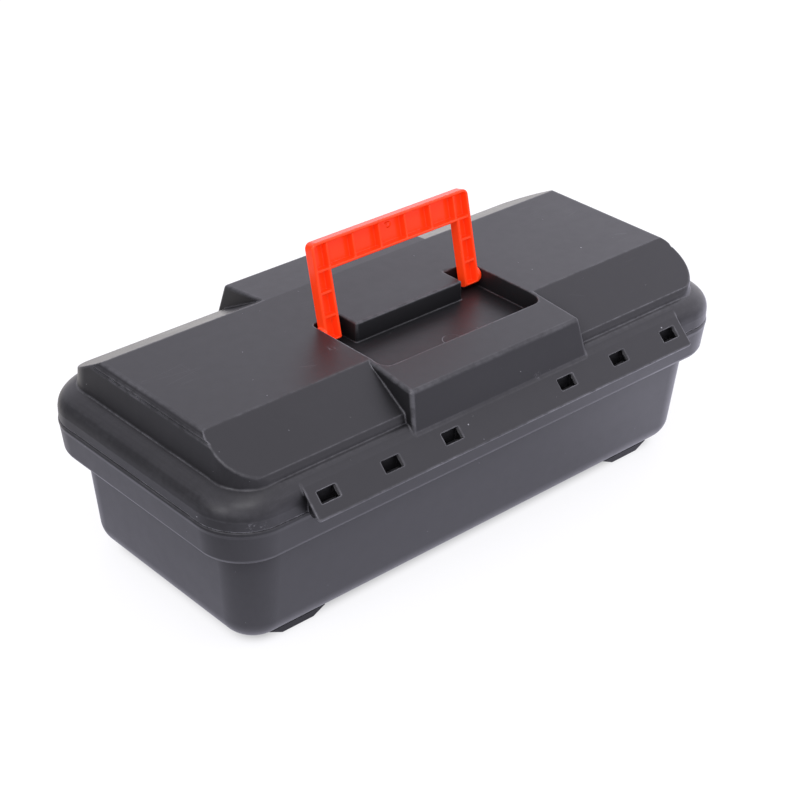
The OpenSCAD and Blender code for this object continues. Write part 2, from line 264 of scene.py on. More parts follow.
def in_slices(work, points, width):
    """work(coordinates) over all points, in slices on all cores."""
    out = np.empty((len(points), width))

    def part(i):
        out[i:i + 32000] = work(np.ascontiguousarray(points[i:i + 32000].T)).T

    list(CORES.map(part, range(0, len(points), 32000)))
    return out


def slope(field, points, step=0.02):
    """Gradient of the field, from both sides."""
    def work(at):
        out = np.empty_like(at)
        for k in range(3):
            ahead, behind = at.copy(), at.copy()
            ahead[k] += step
            behind[k] -= step
            out[k] = (field(*ahead) - field(*behind)) / (2 * step)
        return out

    return in_slices(work, points, 3)


def value_and_slope(field, points, step=0.01):
    """Field values and a one-sided gradient."""
    def work(at):
        out = np.empty((4, at.shape[1]))
        out[0] = field(*at)
        for k in range(3):
            ahead = at.copy()
            ahead[k] += step
            out[k + 1] = (field(*ahead) - out[0]) / step
        return out

    rows = in_slices(work, points, 4)
    return rows[:, 0], rows[:, 1:]


def pull(field, points, low, high, rounds, centre=None):
    """Move points on to the surface, each within its own low and high corner."""
    for i in range(rounds):
        value, grad = value_and_slope(field, points)
        if i == 0 and centre is not None:
            # along a wall the corners sit in the middle of their cells: no folded faces
            length = np.maximum(np.linalg.norm(grad, axis=1, keepdims=True), 1e-9)
            weight = np.clip(1.25 - np.abs(grad) / length / 0.32, 0, 1)
            points = points + (centre - points) * weight
            continue
        square = np.maximum((grad * grad).sum(1), 0.05)
        step = -(value / square)[:, None] * grad
        length = np.linalg.norm(step, axis=1, keepdims=True)
        step *= np.minimum(1, 0.8 / np.maximum(length, 1e-9))
        points = np.clip(points + step, low, high)
    return points


def cell_points(lines, values, inside, cells):
    """Mean of the surface crossings on each cell's edges, and the cell's two corners."""
    low = np.stack([v[c] for v, c in zip(lines, cells)], 1).astype(float)
    high = np.stack([v[c + 1] for v, c in zip(lines, cells)], 1).astype(float)
    total = np.zeros((len(low), 3))
    count = np.zeros(len(low))
    for start in CELL_CORNERS:
        for axis in range(3):
            if start[axis]:
                continue
            end = list(start)
            end[axis] = 1
            value_a = values[tuple(c + s for c, s in zip(cells, start))]
            value_b = values[tuple(c + s for c, s in zip(cells, end))]
            cross = (value_a < 0) != (value_b < 0)
            t = np.where(cross, value_a / np.where(cross, value_a - value_b, 1), 0)
            a = low + (high - low) * np.array(start)
            b = low + (high - low) * np.array(end)
            total += np.where(cross[:, None], a + (b - a) * t[:, None], 0)
            count += cross
    total /= count[:, None]
    return total, low, high


def cell_quads(inside, ids):
    """One quad round every grid edge that crosses the surface."""
    quads = []
    for axis in range(3):
        near, far = [slice(None)] * 3, [slice(None)] * 3
        near[axis], far[axis] = slice(0, -1), slice(1, None)
        edges = np.stack(np.nonzero(inside[tuple(near)] != inside[tuple(far)]), 1)
        others = (axis + 1) % 3, (axis + 2) % 3
        for k in others:
            edges = edges[(edges[:, k] > 0) & (edges[:, k] < inside.shape[k] - 1)]
        ring = []
        for shift in ((-1, -1), (0, -1), (0, 0), (-1, 0)):
            cell = edges.copy()
            cell[:, others[0]] += shift[0]
            cell[:, others[1]] += shift[1]
            ring.append(ids[tuple(cell.T)])
        ring = np.stack(ring, 1)
        turned = ~inside[tuple(edges.T)]
        ring[turned] = ring[turned][:, ::-1]
        quads.append(ring)
    return np.concatenate(quads)


def add_object(name, data):
    ob = bpy.data.objects.new(name, data)
    scene.collection.objects.link(ob)
    return ob


def set_points(mesh, points):
    mesh.vertices.foreach_set("co", (points / 1000).astype(np.float32).ravel())


def shade_smooth(mesh):
    mesh.polygons.foreach_set("use_smooth", np.ones(len(mesh.polygons), bool))
    mesh.update()


def quad_mesh(name, points, quads):
    mesh = bpy.data.meshes.new(name)
    mesh.vertices.add(len(points))
    set_points(mesh, points)
    mesh.loops.add(len(quads) * 4)
    mesh.polygons.add(len(quads))
    mesh.loops.foreach_set("vertex_index", quads.astype(np.int32).ravel())
    mesh.polygons.foreach_set("loop_start", np.arange(len(quads), dtype=np.int32) * 4)
    mesh.polygons.foreach_set("loop_total", np.full(len(quads), 4, np.int32))
    mesh.update(calc_edges=True)
    mesh.validate()
    return mesh


def thinned(ob, ratio):
    """The object's mesh with fewer faces, and its points in mm."""
    name = ob.data.name
    ob.modifiers.new("thin", "DECIMATE").ratio = ratio
    graph = bpy.context.evaluated_depsgraph_get()
    mesh = bpy.data.meshes.new_from_object(ob.evaluated_get(graph))
    ob.modifiers.clear()
    ob.data = mesh
    mesh.name = name
    flat = np.zeros(len(mesh.vertices) * 3, np.float32)
    mesh.vertices.foreach_get("co", flat)
    return mesh, flat.reshape(-1, 3).astype(float) * 1000


def solid(name, field, X, Y, Z, faces=None, place=None):
    """Closed mesh of the solid, on a grid whose lines may be uneven. Every corner is then
    moved on to the surface and takes its true normal, so curves shade smoothly."""
    lines = X, Y, Z = [np.array(v, np.float32) for v in (X, Y, Z)]
    shape = (len(X), len(Y), len(Z))
    values = np.empty(shape, np.float32)

    def fill(i):
        values[i:i + 3] = field(X[i:i + 3, None, None], Y[None, :, None], Z[None, None, :])

    list(CORES.map(fill, range(0, shape[0], 3)))
    values[np.abs(values) < 1e-5] = 1e-5
    inside = values < 0
    filled = sum(inside[i:shape[0] - 1 + i, j:shape[1] - 1 + j, k:shape[2] - 1 + k]
                 .astype(np.uint8) for i, j, k in CELL_CORNERS)
    active = (filled > 0) & (filled < 8)
    cells = np.nonzero(active)
    ids = np.full(active.shape, -1, np.int64)
    ids[active] = np.arange(len(cells[0]))
    points, low, high = cell_points(lines, values, inside, cells)
    quads = cell_quads(inside, ids)
    slack = 0.12 * (high - low)
    points = pull(field, points, low - slack, high + slack, 4, (low + high) / 2)
    mesh = quad_mesh(name, points, quads)
    ob = add_object(name, mesh)
    triangles = 2 * len(quads)
    if faces and triangles > faces:
        mesh, points = thinned(ob, faces / triangles)
        points = pull(field, points, points - 0.12, points + 0.12, 1)
        set_points(mesh, points)
    grad = slope(field, points)
    normals = grad / np.maximum(np.linalg.norm(grad, axis=1, keepdims=True), 1e-9)
    if place is not None:
        matrix = np.array(place)
        points = points @ matrix[:3, :3].T + matrix[:3, 3]
        normals = normals @ matrix[:3, :3].T
        set_points(mesh, points)
    shade_smooth(mesh)
    mesh.normals_split_custom_set_from_vertices([tuple(v) for v in normals.tolist()])
    return ob


# ------------------------------------------------------------------ shader building
class Shader:
    """Node tree of a material or world. Inputs are given by name, or as _0, _1 by number."""

    def __init__(self, owner, output="ShaderNodeOutputMaterial"):
        owner.use_nodes = True
        self.owner = owner
        self.tree = owner.node_tree
        self.tree.nodes.clear()
        self.output = self.node(output)
        self.coords = self.node("ShaderNodeTexCoord").outputs

    def node(self, kind, props=None, **inputs):
        node = self.tree.nodes.new(kind)
        for key, value in (props or {}).items():
            setattr(node, key, value)
        for key, value in inputs.items():
            socket = node.inputs[int(key[1:]) if key[0] == "_" else key.replace("_", " ")]
            if isinstance(value, bpy.types.NodeSocket):
                self.tree.links.new(value, socket)
            else:
                socket.default_value = value
        return node

    def finish(self, surface):
        self.tree.links.new(surface.outputs[0], self.output.inputs[0])
        return self.owner

    def math(self, operation, a, b=0.0, clamp=False):
        props = {"operation": operation, "use_clamp": clamp}
        return self.node("ShaderNodeMath", props, _0=a, _1=b, _2=0.0).outputs[0]

    def times(self, a, b):
        return self.math("MULTIPLY", a, b)

    def plus(self, a, b):
        return self.math("ADD", a, b)

    def larger(self, a, b):
        return self.math("MAXIMUM", a, b)

    def vector(self, operation, *values):
        inputs = {f"_{i}": value for i, value in enumerate(values)}
        return self.node("ShaderNodeVectorMath", {"operation": operation}, **inputs).outputs

    def distance_to(self, x, y, z):
        """Distance in metres from a place in mm."""
        place = (x / 1000, y / 1000, z / 1000)
        return self.vector("DISTANCE", self.coords["Object"], place)["Value"]

    def span(self, value, across, to=(0.0, 1.0)):
        """Smooth step: `to` is what the value becomes at the two ends of `across`."""
        ends = {"From Min": across[0], "From Max": across[1], "To Min": to[0], "To Max": to[1]}
        return self.node("ShaderNodeMapRange", {"interpolation_type": "SMOOTHSTEP"},
                         Value=value, **ends).outputs[0]

    def mix(self, share, a, b):
        """Colour a to colour b; inputs 6 and 7 are the node's colours."""
        a, b = ((*c, 1) if isinstance(c, tuple) else c for c in (a, b))
        return self.node("ShaderNodeMix", {"data_type": "RGBA"}, _0=share, _6=a, _7=b).outputs[2]

    def noise(self, scale, detail=3.0, rough=0.55, coords=None):
        return self.node("ShaderNodeTexNoise", Vector=coords or self.coords["Object"],
                         Scale=scale, Detail=detail, Roughness=rough).outputs["Fac"]

    def mapping(self, **inputs):
        return self.node("ShaderNodeMapping", Vector=self.coords["Object"], **inputs).outputs[0]

    def edges(self, radius):
        """1 on sharp edges, 0 on open faces."""
        bevel = self.node("ShaderNodeBevel", {"samples": 4}, Radius=radius).outputs[0]
        normal = self.node("ShaderNodeNewGeometry").outputs["Normal"]
        same = self.vector("DOT_PRODUCT", bevel, normal)["Value"]
        return self.math("SUBTRACT", 1.0, same, clamp=True)

    def crease_shade(self, reach, low):
        """1 on open faces, down to `low` in corners where little light comes in."""
        light = self.node("ShaderNodeAmbientOcclusion", {"samples": 6, "only_local": True},
                          Distance=reach).outputs["AO"]
        return self.span(light, (0.45, 1.0), to=(low, 1.0))

    def specks(self, scale, size, share, seed=0.0):
        coords = self.mapping(Location=(seed, seed * 0.7, seed * 1.3))
        cells = self.node("ShaderNodeTexVoronoi", Vector=coords, Scale=scale).outputs
        pick = self.node("ShaderNodeSeparateColor", Color=cells["Color"]).outputs
        dot = self.math("LESS_THAN", cells["Distance"], self.times(pick[1], size))
        return self.times(dot, self.math("LESS_THAN", pick[0], share))

    def scratches(self, scale, turn, width, share):
        coords = self.mapping(Scale=scale, Rotation=turn)
        gap = self.node("ShaderNodeTexVoronoi", {"feature": "DISTANCE_TO_EDGE"}, Vector=coords,
                        Scale=1.0).outputs["Distance"]
        line = self.span(gap, (0.0, width), to=(1.0, 0.0))
        patches = self.noise(scale=23.0, detail=2.0)
        return self.times(line, self.span(patches, (1 - share, 1 - share + 0.08)))


def scaled(colour, factor):
    return tuple(factor * v for v in colour)


# ------------------------------------------------------------------ materials
def plastic(name, base, light, rough, grain=0.12, grain_scale=2400.0, edge_wear_and_highlight=0.5, dust=0.5,
            spec=0.5, cloud=0.25, edge_wear_and_highlight_radius=0.0007, crease_shade=(0.018, 0.38), coat=0.0, glow=0.0,
            scuffs=(), rings=()):
    """Moulded plastic: fine grain, cloudy colour, edges lightened partly as wear and partly as
    painted highlights, dust and scratches in the light colour, painted shade in creases and, where
    glow is set, a painted glow. crease is (reach, low) of that shade, scuffs are (x, y, z, radius)
    rubbed places and rings are (x, y, z, radius) gate marks, lighter partly as a painted glint, in
    mm."""
    m = Shader(bpy.data.materials.new(name))
    clouds = m.noise(scale=16.0, detail=4.0, rough=0.6)
    blotches = m.noise(scale=140.0)
    fine = m.noise(scale=grain_scale, detail=2.0, rough=0.6)
    pits = m.noise(scale=grain_scale * 0.33, detail=2.0, rough=0.5)

    # edges lightened, partly as wear and partly as painted highlights; patchy and only on outer
    # corners
    worn_and_lit_edges = m.times(m.math("POWER", m.edges(edge_wear_and_highlight_radius), 0.42),
                   m.span(m.noise(scale=260.0), (0.25, 0.65), to=(0.3, 1.0)))
    patches = m.noise(scale=22.0, detail=2.0)
    worn_and_lit_edges = m.times(worn_and_lit_edges, m.span(patches, (0.35, 0.65), to=(0.45, 1.0)))
    unshaded_share = m.crease_shade(*crease_shade)
    worn_and_lit_edges = m.times(worn_and_lit_edges, m.span(unshaded_share, (0.66, 0.92), to=(0.05, 1.0)))
    worn_and_lit_edges = m.math("MULTIPLY", worn_and_lit_edges, edge_wear_and_highlight, clamp=True)

    dots = m.larger(m.specks(scale=85.0, size=0.045, share=0.40),
                    m.specks(scale=210.0, size=0.06, share=0.18, seed=3.1))
    dots = m.times(dots, dust)

    # scratches on level faces, then rubbed places and gate marks; the gate marks are lighter
    # partly as a painted glint
    marks = m.larger(
        m.scratches(scale=(9, 160, 60), turn=(0.3, 0.2, 0.9), width=0.012, share=0.42),
        m.scratches(scale=(150, 12, 50), turn=(0.1, 0.5, 0.4), width=0.010, share=0.38))
    normal = m.node("ShaderNodeNewGeometry").outputs["Normal"]
    level = m.node("ShaderNodeSeparateXYZ", Vector=normal).outputs[2]
    marks = m.times(marks, m.times(m.span(level, (0.8, 0.97)), 0.06 * dust))
    rub = m.noise(scale=900.0, rough=0.7,
                  coords=m.mapping(Scale=(1.0, 0.35, 1.0), Rotation=(0.4, 0.2, 0.6)))
    for *place, radius in scuffs:
        near = m.span(m.distance_to(*place), (0.25 * radius / 1000, radius / 1000),
                      to=(1.0, 0.0))
        marks = m.larger(marks, m.times(near, m.span(rub, (0.50, 0.66), to=(0.0, 0.30))))
    gate = None
    for *place, radius in rings:
        off = m.math("ABSOLUTE", m.math("SUBTRACT", m.distance_to(*place), radius / 1000))
        ring = m.span(off, (0.0, 0.00042), to=(1.0, 0.0))
        gate = ring if gate is None else m.larger(gate, ring)
    # gate rings: a raised mark, lightened partly as a painted glint
    if gate is not None:
        marks = m.larger(marks, m.times(gate, m.span(blotches, (0.38, 0.58), to=(0.03, 0.40))))

    colour = m.mix(m.times(m.span(clouds, (0.3, 0.7)), cloud), base, scaled(base, 1.35))
    colour = m.mix(m.times(m.span(blotches, (0.3, 0.75)), cloud * 0.5), colour,
                   scaled(base, 0.8))
    colour = m.mix(m.larger(m.larger(worn_and_lit_edges, dots), marks), colour, light)
    # painted shade: the colour darkens towards a quarter of the base in creases and corners
    colour = m.mix(unshaded_share, scaled(base, 0.25), colour)

    # roughness varies a little with the clouds and blotches, and rises in the marks
    roughness = m.plus(rough - 0.07, m.times(clouds, 0.08))
    roughness = m.plus(roughness, m.times(blotches, 0.08))
    roughness = m.plus(roughness, m.times(marks, 0.25))

    # relief: grain, sunk marks, raised gate marks
    height = m.plus(m.times(fine, 0.6), m.times(pits, 0.5))
    height = m.plus(height, m.times(marks, -1.2))
    if gate is not None:
        height = m.plus(height, m.times(gate, 2.5))
    bump = m.node("ShaderNodeBump", Strength=grain, Distance=0.00012, Height=height)
    extra = {}
    if coat:
        extra.update(Coat_Weight=coat, Coat_Roughness=0.07)
    # painted shade: reflections are weaker in creases as well
    specular = m.times(unshaded_share, spec)
    if glow:
        # painted glow, though the plastic is no lamp: full glow to the camera, 0.4 of it on its
        # surroundings
        seen = m.node("ShaderNodeLightPath").outputs["Is Camera Ray"]
        extra.update(Emission_Color=(*base, 1),
                     Emission_Strength=m.times(m.plus(0.4, m.times(seen, 0.6)), glow))
    return m.finish(m.node("ShaderNodeBsdfPrincipled", Base_Color=colour, Roughness=roughness,
                           IOR=1.5, Normal=bump.outputs[0], Specular_IOR_Level=specular,
                           **extra))


def steel_material(name):
    """Steel with drawing lines along X."""
    m = Shader(bpy.data.materials.new(name))
    turn = (0, 0, 0)
    drawn = m.noise(scale=1.0, rough=0.6, coords=m.mapping(Scale=(60, 5200, 5200), Rotation=turn))
    colour = m.mix(m.span(m.noise(scale=120.0), (0.35, 0.7)), (0.60, 0.60, 0.62),
                   (0.45, 0.44, 0.43))
    roughness = m.plus(0.22, m.times(drawn, 0.22))
    bump = m.node("ShaderNodeBump", Strength=0.25, Distance=0.00005, Height=drawn)
    return m.finish(m.node("ShaderNodeBsdfPrincipled", Base_Color=colour, Metallic=1.0,
                           Roughness=roughness, Normal=bump.outputs[0]))


def foam_material(name):
    """Foam with small cells, cloudy in colour."""
    m = Shader(bpy.data.materials.new(name))
    cells = m.node("ShaderNodeTexVoronoi", Vector=m.coords["Object"], Scale=900.0)
    cell = m.span(cells.outputs["Distance"], (0.1, 0.6))
    clouds = m.noise(scale=40.0, detail=4.0)
    colour = m.mix(cell, (0.055, 0.056, 0.062), (0.11, 0.112, 0.12))
    colour = m.mix(m.times(clouds, 0.35), colour, (0.15, 0.15, 0.16))
    bump = m.node("ShaderNodeBump", Strength=0.7, Distance=0.0004, Height=cell)
    return m.finish(m.node("ShaderNodeBsdfPrincipled", Base_Color=colour, Roughness=0.92,
                           Normal=bump.outputs[0], Sheen_Weight=0.25))


# The edge mark (wear with painted highlights) is strongest on the lid.
CASE_LOOK = dict(base=(0.0170, 0.0168, 0.0180), light=(0.42, 0.42, 0.44), rough=0.39,
                 grain=0.20, edge_wear_and_highlight=1.9, edge_wear_and_highlight_radius=0.0009, cloud=0.30)
LID_SCUFFS = ((-182.5, -89.0, 97.3, 4.0), (-176.0, -92.0, 96.8, 3.4),
              (-66.0, -84.6, 133.0, 3.4), (-27.2, -94.0, 107.2, 1.2),
              (27.8, -91.5, 111.2, 3.6), (-72.0, -24.0, TOP, 4.5), (-150.0, -105.8, 94.5, 4.0))
CASE = plastic("case_plastic", **dict(CASE_LOOK, edge_wear_and_highlight=0.7))
LID = plastic("case_plastic_lid", **CASE_LOOK, dust=0.9, scuffs=LID_SCUFFS,
              rings=((3.0, -44.6, RECESS_FLOOR, 6.2),))
FOOT = plastic("foot_plastic", base=(0.009, 0.009, 0.0098), light=(0.3, 0.3, 0.31), rough=0.5,
               grain=0.3, dust=0.8, edge_wear_and_highlight=0.4, spec=0.35)
# The orange plastic carries a painted glow.
ORANGE = plastic("handle_plastic", base=(0.93, 0.045, 0.006), light=(1.0, 0.34, 0.14),
                 rough=0.19, grain=0.05, grain_scale=1500.0, edge_wear_and_highlight=0.40, crease_shade=(0.0022, 0.80),
                 dust=0.15, cloud=0.10, coat=0.04, spec=0.30, glow=0.35)
TRAY = plastic("tray_plastic", base=(0.12, 0.123, 0.13), light=(0.4, 0.4, 0.42), rough=0.45,
               grain=0.2)
DIVIDER = plastic("divider_plastic", base=(0.34, 0.35, 0.37), light=(0.6, 0.6, 0.62),
                  rough=0.35, grain=0.1, edge_wear_and_highlight=0.3)
RUBBER = plastic("mat_rubber", base=(0.016, 0.016, 0.016), light=(0.12, 0.12, 0.12),
                 rough=0.75, grain=0.5, grain_scale=1400.0, dust=1.2, spec=0.3)
STEEL = steel_material("steel")
FOAM = foam_material("block_foam")


def dress(ob, material, body, node):
    ob.data.materials.append(material)
    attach(ob, body)
    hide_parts(node)


# ------------------------------------------------------------------ lid
# skirt and shoulder: (distance in from the rim, z)
SHOULDER = [(0.0, 60.0), (0.0, 92.0)] + curve([
    (0.0, 100.4), (0.35, 103.3), (1.15, 106.0), (2.6, 108.6), (4.7, 110.9),
    (7.0, 112.8), (9.2, 113.9), (12.0, 114.3)]) + [(90.0, 114.4), (90.0, 60.0)]
# raised deck: (|y|, z, radius), then (|x|, z, radius)
DECK_SIDE = rounded([(-20, TOP, 0), (47.9, TOP, 2.0), (82.4, 119.4, 0.8), (84.3, 115.2, 0),
                     (86.2, 104, 0), (86.2, 60, 0), (-20, 60, 0)])
DECK_END = rounded([(-20, TOP, 0), (181.2, TOP, 2.8), (184.2, 134.3, 0.6), (182.9, 133.0, 0.25),
                    (184.7, 132.5, 0.5), (186.7, 110.0, 0), (186.7, 60, 0), (-20, 60, 0)])
# wider band across the middle: (|y|, z, radius), then (|x|, z, radius)
BAND_SIDE = rounded([(-20, TOP, 0), (47.9, TOP, 2.0), (85.6, 133.7, 2.6), (91.75, 108.5, 0),
                     (91.75, 60, 0), (-20, 60, 0)])
BAND_WALL = rounded([(-20, TOP + 8, 0), (66.2, TOP + 8, 0), (66.3, TOP, 0), (70.7, 104.0, 0),
                     (70.9, 60, 0), (-20, 60, 0)])
# hinge flange and the webs under it: (y, z, radius)
FLANGE = rounded([(-84.0, 111.6, 0), (-84.0, 114.2, 0), (-91.3, 109.8, 6.0),
                  (-106.0, 94.9, 0.7), (-106.05, 93.8, 0.45), (-105.1, 93.15, 0.35),
                  (-91.8, 106.6, 0), (-90.5, 108.0, 0)], 0.2)
WEB = rounded([(-92.6, 94.7, 0.4), (-92.2, 107.8, 0), (-105.2, 95.2, 0.4), (-104.3, 94.0, 0.4),
               (-97.5, 92.9, 0)], 0.3)
# latch ear: (y, z, radius)
EAR = rounded([(HALF_WIDTH - 1.6, PARTING + 2, 0), (HALF_WIDTH + 2, PARTING + 4, 0.4),
               (LATCH_Y + 1, LATCH_Z - 3, 0.4), (LATCH_Y, LATCH_Z + 3.1, 0.6),
               (HALF_WIDTH - 4, PARTING + 14, 0)], 0.3)
FLANGE_X = 150.0                                 # half length of the flange
FLANGE_ANGLE = math.radians(45.4)
FLANGE_Y, FLANGE_Z = -98.35, 103.55              # middle of the windows
WEB_SPANS = [s for w in KNUCKLES for s in beside(w, 6.8, 8.4)] + [(145.6, 147.4)]


def recess(x, y, z):
    """Handle recess: open floor on the -Y side, with a slot either side of a pad."""
    abs_x = np.abs(x)
    shape = plan(abs_x, np.abs(y + 40), RECESS_X, 46, 4.0)       # slots run to y = +6
    shape = both(shape, -59.0 - y, 7.5)                          # -Y wall, round corners
    pad = both(abs_x - 42.3, -10.4 - y, 1.4)
    shape = less(shape, pad, 0.9)
    return both(shape + 0.03 * (TOP - z), RECESS_FLOOR - z, 0.6)


def lid_outer(x, y, z):
    """Outside of the lid: skirt and shoulder, deck, middle band."""
    abs_x, abs_y = np.abs(x), np.abs(y)
    from_rim = -rim(abs_x, abs_y)
    from_deck = plan(abs_x, abs_y, HALF_LENGTH - 12.0, HALF_WIDTH - 6.8, 33.0)
    # blend the two so that the shoulder is narrower on the long sides
    between = 9.0 * from_rim / np.maximum(from_rim + from_deck, 1e-3)
    inset = np.where(from_rim < 0, from_rim,
                     np.where(from_deck > 0, between, 9.0 - from_deck))
    skirt = outline(inset, z, SHOULDER)
    deck = both(outline(abs_y, z, DECK_SIDE), outline(abs_x, z, DECK_END),
                0.5 * np.clip((TOP - 0.8 - z) / 2.0, 0, 1))
    deck = both(deck, plan(abs_x, abs_y, 186.7, 85.6, 25.0) + 0.11 * (z - 104.0) * 0.85, 0.8)
    band = both(outline(abs_y, z, BAND_SIDE), outline(abs_x, z, BAND_WALL), 2.0)
    return either(either(skirt, deck, 0.7), band, 0.9 * np.clip((TOP - 1.5 - z) / 8.0, 0, 1))


def hinge_flange(x, y, z, rod):
    """Sloping plate with windows, and webs under it that hold the rod."""
    abs_x = np.abs(x)
    cos, sin = math.cos(FLANGE_ANGLE), math.sin(FLANGE_ANGLE)
    along = (y - FLANGE_Y) * cos + (z - FLANGE_Z) * sin
    deep = (z - FLANGE_Z) * cos - (y - FLANGE_Y) * sin
    plate = both(both(outline(y, z, FLANGE), abs_x - FLANGE_X, 0.9),
                 both(abs_x - FLANGE_X, -12.2 - along, 2.6), 0.5)
    webs = both(np.minimum(outline(y, z, WEB), rod - 3.2), slabs(abs_x, WEB_SPANS), 0.3)
    # one side wall of each window leans out
    lean = 0.75 * np.clip(deep + 2.3, 0, 2.0)
    windows = any_of(both(np.maximum(x - m - 5.5 - lean, m - x - 6.5), np.abs(along) - 3.55, 0.5)
                     for w in KNUCKLES for m in (-w, w))
    windows = np.maximum(windows, np.abs(deep) - 5.5)
    return less(either(plate, webs, 0.4), windows, 0.3)


def lid_field(x, y, z):
    abs_x, abs_y = np.abs(x), np.abs(y)
    by_pad = np.clip((50 - abs_x) / 6.0, 0, 1) * np.clip((y + 40) / 20.0, 0, 1)
    full = less(lid_outer(x, y, z), recess(x, y, z), 0.7 + 0.9 * by_pad)
    shell = less(full, full + WALL, 0.01)
    shell = both(shell, PARTING + 0.12 - z, 0.15)
    # room for the tub's tongue, also in the corners
    shell = carve(shell, np.maximum(rim(abs_x, abs_y) + 2.6, z - 98.2))
    rod = off_axis(y, z, HINGE_Y, HINGE_Z)
    lid = either(shell, hinge_flange(x, y, z, rod), 0.8)
    pin = off_axis(y, z, LATCH_Y, LATCH_Z)
    ear = np.minimum(outline(y, z, EAR), pin - 3.3)
    lid = either(lid, both(ear, slabs(abs_x, beside(LATCH_X, 18.6, 21.6)), 0.5), 0.7)
    # bores for the hinge rod, the latch pins and the handle pins
    lid = carve(lid, np.maximum(rod - 1.62, abs_x - 147.0))
    lid = carve(lid, pin - 1.52)
    return carve(lid, np.maximum(off_axis(y, z, PIVOT_Y, PIVOT_Z) - 2.56,
                                 np.abs(abs_x - RECESS_X - 1.2) - 2.6))


def lid_lines():
    spots = [(41.0, 43.9), (49.9, 50.9), (60.8, 71.4), (144.9, 151.0), (181.0, 187.6)]
    spots += [s for w in KNUCKLES for s in beside(w, 5.6, 9.0)]
    spots += [(ear - 2.0, ear + 2.0) for ear in (LATCH_X - 20.1, LATCH_X + 20.1)]
    X = clusters(0.0, 151.0, 6.0, 0.62, spots)
    X += spread(151.0, (160.0, 1.5), (181.0, 1.1), (187.6, 0.6), (HALF_LENGTH + 0.9, 0.85))[1:]
    Y = spread(-107.0, (-90.4, 0.5), (-79.5, 0.62), (-61.2, 1.1), (-50.5, 0.7), (-45.0, 1.2),
               (-12.0, 4.0), (-8.6, 0.6), (3.0, 2.4), (7.2, 0.55), (43.0, 4.5), (60.0, 1.5),
               (79.5, 1.15), (93.2, 0.62), (102.4, 0.6))
    Z = spread(91.4, (111.6, 0.55), (115.6, 0.45), (120.6, 0.6), (126.4, 0.5), (131.0, 0.95),
               (134.6, 0.4), (TOP + 0.9, 0.55))
    return mirrored(X), Y, Z


dress(solid("lid_moulding", lid_field, *lid_lines(), faces=190000),
      LID, "lid", "lid_shell")

# ------------------------------------------------------------------ base tub
# collar and tongue: (distance out from the rim, z, radius)
COLLAR = rounded([(-40, 72.1, 0), (-3.1, 72.1, 0.9), (-1.75, 74.4, 1.6), (0.0, 89.9, 1.5),
                  (0.42, 91.7, 1.2), (0.12, 93.55, 0.4), (-0.4, 93.88, 0.2), (-3.0, 93.85, 0.2),
                  (-3.0, 97.6, 0.55), (-40, 97.6, 0)], 0.2)


def tub_field(x, y, z):
    abs_x, abs_y = np.abs(x), np.abs(y)
    height = z - 19.1
    wall = plan(abs_x, abs_y, 180.5 + height * 0.0768, 79.0 + height * 0.1113,
                np.clip(21.5 + height * 0.08, 16.0, 27.0))
    tub = both(both(wall, 4.1 - z, 15.0), z - 76.0, 0.2)
    edge = rim(abs_x, abs_y)
    tub = either(tub, outline(edge, z, COLLAR), 1.0)
    inner = both(wall + WALL, 6.7 - z, 12.6)
    ledge = both(edge + 5.0 + 0.03 * (PARTING - z), 75.6 - z, 1.2)
    tub = less(tub, either(inner, ledge, 0.01), 0.45)
    rod = off_axis(y, z, HINGE_Y, HINGE_Z)
    for w in KNUCKLES:
        knuckle = both(rod - 3.4, np.abs(abs_x - w) - 6.0, 0.35)
        arm = block(abs_x, y, z, (w - 6.0, HINGE_Y + 0.3, 91.5), (w + 6.0, -91.9, 94.0), 0.3)
        tub = either(tub, np.minimum(knuckle, arm), 0.5)
    catch = block(abs_x, y, z, (LATCH_X - 15.0, 90.9, 84.5), (LATCH_X + 15.0, 96.6, 88.5), 0.7)
    return carve(either(tub, catch, 0.6), rod - 1.66)


def tub_lines():
    spots = [s for w in KNUCKLES for s in beside(w, 5.2, 6.8)] + beside(LATCH_X, 13.8, 15.8)
    X = clusters(0.0, 150.0, 7.5, 0.7, spots)
    X += spread(150.0, (157.0, 1.8), (186.0, 1.1), (HALF_LENGTH + 1.2, 0.8))[1:]
    Y = spread(-102.0, (-80.0, 0.65), (-56.0, 1.1), (56.0, 8.0), (80.0, 1.1), (98.2, 0.65))
    Z = spread(3.0, (20.5, 0.95), (69.0, 2.2), (77.5, 0.47), (88.0, 1.7), (99.2, 0.44))
    return mirrored(X), Y, Z


dress(solid("tub_moulding", tub_field, *tub_lines(), faces=190000),
      CASE, "base", "base_tub")

# ------------------------------------------------------------------ feet
# (x from the middle, z, radius)
FOOT_END = rounded([(-11.3, 0, 0.7), (11.3, 0, 0.7), (21.2, 4.9, 0), (-21.2, 4.9, 0)], 0.2)


def foot_piece(name, node):
    """Foot with two grooves along X in its underside."""
    low, high = node_box(node)
    mid_x, mid_y = (low[0] + high[0]) / 2, (low[1] + high[1]) / 2
    half = (high[1] - low[1]) / 2

    def field(x, y, z):
        abs_y = np.abs(y - mid_y)
        foot = both(outline(x - mid_x, z, FOOT_END), abs_y - half, 0.7)
        groove = off_axis(abs_y, z, 4.0, -0.5) - 1.0
        foot = less(foot, np.maximum(groove, np.abs(x - mid_x) - 8.5), 0.2)
        return np.maximum(foot, z - 4.6)

    return solid(name, field, np.arange(mid_x - 22.3, mid_x + 22.4, 0.62),
                 np.arange(mid_y - half - 0.8, mid_y + half + 0.85, 0.5),
                 np.arange(-0.5, 5.4, 0.42), faces=9000)


for foot_node in ("foot_rear_left", "foot_rear_right", "foot_front_left", "foot_front_right"):
    dress(foot_piece(foot_node + "_block", foot_node), FOOT, "base", foot_node)

